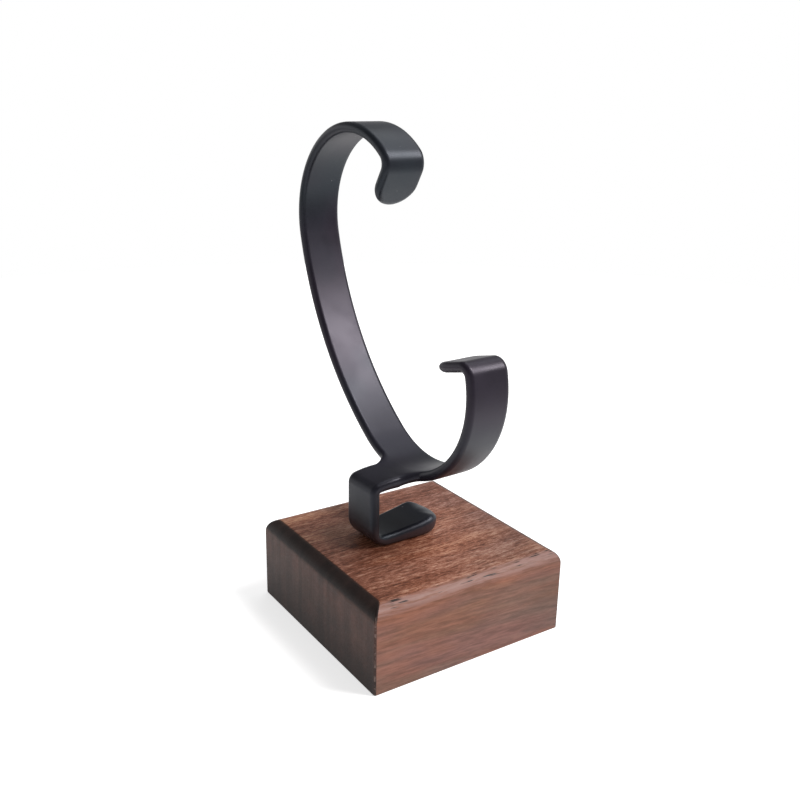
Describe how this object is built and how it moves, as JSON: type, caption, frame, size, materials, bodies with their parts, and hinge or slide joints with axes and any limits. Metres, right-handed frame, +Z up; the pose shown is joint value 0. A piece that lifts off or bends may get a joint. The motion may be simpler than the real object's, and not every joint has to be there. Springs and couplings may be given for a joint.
{
  "type": "watch stand",
  "caption": "Tabletop watch stand: a square walnut block with a black flat-strip C-ring that a closed watch strap hangs round.",
  "frame": {"origin": "middle of the block's underside", "axes": "+Z up, -Y towards the side that the C-ring opens to, X across the ring's strip with the riser on the -X side"},
  "size_m": [0.05, 0.0726, 0.1108],
  "materials": {
    "walnut": "satin clear lacquer over dark walnut",
    "black_coating": "satin black coating",
    "screw_steel": "plain bright steel"
  },
  "bodies": {
    "root": {"wood_base": "walnut", "ring_bracket": "black_coating", "fixing_screw": "screw_steel"}
  },
  "joints": []
}
